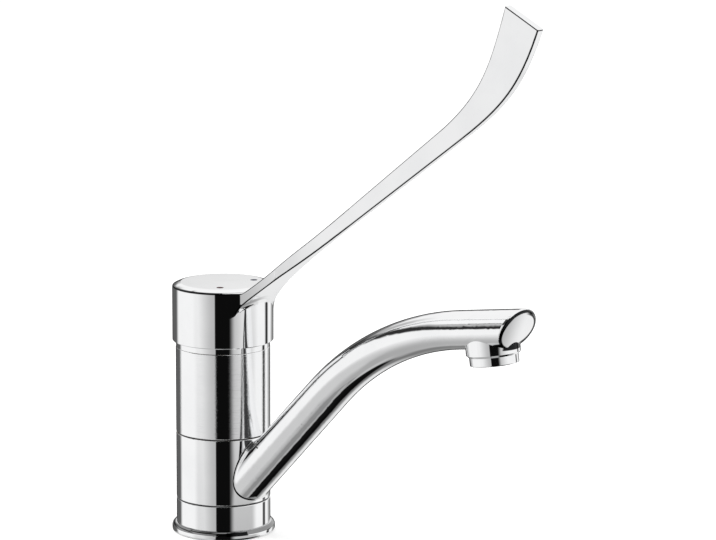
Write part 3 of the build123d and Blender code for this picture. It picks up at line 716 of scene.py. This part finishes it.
class Studio:
    """Light of the studio in the shiny surfaces, by the direction that they mirror."""

    def __init__(self, tree):
        self.tree = tree
        self.way = tree.node("ShaderNodeTexCoord").outputs["Generated"]
        self.towards = (math.sin(CAMERA_AZIMUTH), -math.cos(CAMERA_AZIMUTH), 0.0)
        aside = (math.cos(CAMERA_AZIMUTH), math.sin(CAMERA_AZIMUTH), 0.0)
        front = tree.vector("DOT_PRODUCT", self.way, self.towards)
        side = tree.vector("DOT_PRODUCT", self.way, aside)
        rise = tree.parts(self.way)[2]
        self.turn = tree.times(tree.math("ARCTAN2", side, front), math.degrees(1.0))
        self.level = tree.times(tree.math("ARCSINE", rise), math.degrees(1.0))
        self.light = tree.math("MINIMUM", self.tent_light(), self.table_light())

    def panel(self, turns, levels):
        """Mask of a panel between two turns and two levels."""
        mask = self.tree.window(self.turn, *turns)
        return self.tree.times(mask, self.tree.window(self.level, *levels))

    def oval(self, azimuth, height, half_width, half_height, soft):
        """Mask of an oval panel, with a soft rim."""
        tree = self.tree
        across = tree.math("WRAP", tree.math("ADD", self.turn, -azimuth), 180.0, -180.0)
        across = tree.math("DIVIDE", across, half_width)
        along = tree.math("DIVIDE", tree.math("ADD", self.level, -height), half_height)
        return tree.step(tree.math("SQRT", tree.squares(across, along)), 1.0 + soft, 1.0 - soft)

    def patch(self, fall, outer, inner):
        """Mask of a round patch straight behind the object, some degrees below the horizon."""
        flat, drop = math.cos(math.radians(fall)), math.sin(math.radians(fall))
        middle = (-self.towards[0] * flat, -self.towards[1] * flat, -drop)
        nearness = self.tree.vector("DOT_PRODUCT", self.way, middle)
        rim = (math.cos(math.radians(outer)), math.cos(math.radians(inner)))
        return self.tree.step(nearness, *rim)

    def darken(self, mask, share):
        """Takes a share of the light away where a mask is 1."""
        kept = self.tree.math("MULTIPLY_ADD", mask, -share, 1.0)
        self.light = self.tree.times(self.light, kept)

    def tent_light(self):
        """Side walls of the tent: brightest square to the camera's line, greyer towards it."""
        tree = self.tree
        away = tree.math("ABSOLUTE", self.turn)
        walls = tree.step(away, 15.0, 70.0, 0.50, 0.97)
        return tree.most(walls, tree.step(self.level, 10.0, 45.0))

    def table_light(self):
        """Table: the light on it falls off towards the foot, slower on the left in front."""
        tree, level = self.tree, self.level
        light = tree.step(level, -6.0, -72.0, 0.98, 0.42)
        front_left = tree.step(level, -60.0, -84.0, 0.63, 0.42)
        light = tree.mix_values(tree.window(self.turn, *TABLE_FRONT_LEFT), light, front_left)
        light = tree.mix_values(tree.window(self.turn, *TABLE_FRONT_RIGHT), light, 0.28)
        rear = tree.step(level, -40.0, -54.0, 0.86, 0.30)
        light = tree.mix_values(tree.window(self.turn, *TABLE_REAR), light, rear)
        light = tree.mix_values(self.oval(*TABLE_REAR_GLEAM), light, 0.55)
        light = tree.mix_values(self.oval(*TABLE_RIGHT_GLEAM), light, 0.92)
        return tree.mix_values(tree.step(level, -6.0, -22.0), 1.0, light)

    def hang_left_bars(self):
        """The bent dark bar high on the left, with the softer ones above and below it."""
        tree = self.tree
        bend = tree.math("ADD", self.turn, -BAR_MIDDLE_TURN)
        bend = tree.math("DIVIDE", bend, BAR_BEND_TURNS)
        bend = tree.times(bend, bend)
        middle = tree.math("MULTIPLY_ADD", bend, -BAR_BEND_LEVELS, BAR_MIDDLE_LEVEL)
        off = tree.math("SUBTRACT", self.level, middle)
        bar = tree.times(
            tree.window(off, *BAR_ACROSS),
            tree.window(self.turn, *BAR_TURNS),
            tree.step(self.turn, -160.0, -128.0, 0.68, 0.97),
        )
        above = tree.window(off, *ABOVE_BAR_ACROSS)
        self.darken(bar, 1.0)
        self.darken(tree.times(above, tree.window(self.turn, *ABOVE_BAR_TURNS)), 0.55)
        self.darken(self.panel(*THIN_BAR), 0.7)
        self.darken(self.oval(*UNDER_BAR), 0.5)
        self.darken(self.oval(*UNDER_BAR_LOW), 0.85)

    def hang_flags(self):
        """All dark and grey panels, in the order in which they cover each other."""
        tree = self.tree
        self.darken(self.panel(*REAR_LEFT_FLAG), 0.88)
        self.light = tree.mix_values(self.oval(*REAR_LEFT_TONE), self.light, 0.27)
        self.darken(self.panel(*REAR_RIGHT_FLAG), 0.97)
        self.darken(self.panel(*REAR_FLAG), 0.60)
        self.darken(self.panel(*CLOTH), 0.98)
        self.darken(self.oval(*TABLE_EDGE), 0.985)
        self.darken(self.oval(*TABLE_EDGE_SHADE), 0.45)
        self.hang_left_bars()
        self.darken(self.patch(*OUTLINE_PATCH), 0.93)
        self.darken(self.panel(*OVERHEAD), 0.95)
        # The black panel around the camera has a sharp left and a soft right side.
        sides = tree.step(self.turn, *CAMERA_PANEL_LEFT)
        sides = tree.times(sides, tree.fall(self.turn, *CAMERA_PANEL_RIGHT))
        around = tree.times(sides, tree.window(self.level, *CAMERA_PANEL_LEVELS))
        self.darken(around, 0.992)


def make_world():
    """White to the camera, plain light for the matt surfaces, the studio for the shiny ones."""
    world = bpy.data.worlds.new("studio")
    bpy.context.scene.world = world
    world.use_nodes = True
    tree = Tree(world.node_tree)
    studio = Studio(tree)
    studio.hang_flags()
    path = tree.node("ShaderNodeLightPath")
    strength = tree.mix_values(path.outputs["Is Glossy Ray"], PLAIN_LIGHT, studio.light)
    strength = tree.mix_values(path.outputs["Is Camera Ray"], strength, 1.0)
    background = tree.node("ShaderNodeBackground")
    background.inputs["Color"].default_value = WHITE
    tree.feed(background.inputs["Strength"], strength)
    out = tree.node("ShaderNodeOutputWorld")
    tree.feed(out.inputs[0], background.outputs[0])


# Lamps: place, size and power. They are aimed at the middle of the tap.
LAMPS = {
    "soft_top": ((0.1, -0.2, 1.5), 1.2, 9.0),
    "soft_side": ((-0.9, -0.9, 0.9), 0.9, 4.0),
}
LAMP_AIM = Vector((0.06, 0.0, 0.08))


def make_lamps():
    """Soft lamps for the matt surfaces, which the chrome doesn't show."""
    for name, (place, size, energy) in LAMPS.items():
        data = bpy.data.lights.new(name, "AREA")
        data.shape = "DISK"
        data.size = size
        data.energy = energy
        lamp = bpy.data.objects.new(name, data)
        lamp.location = place
        lamp.rotation_euler = (LAMP_AIM - Vector(place)).to_track_quat("-Z", "Y").to_euler()
        lamp.visible_glossy = False
        bpy.context.scene.collection.objects.link(lamp)


make_camera()
make_world()
make_floor()
make_lamps()
dress_nodes()
bpy.context.scene.view_settings.view_transform = "Standard"
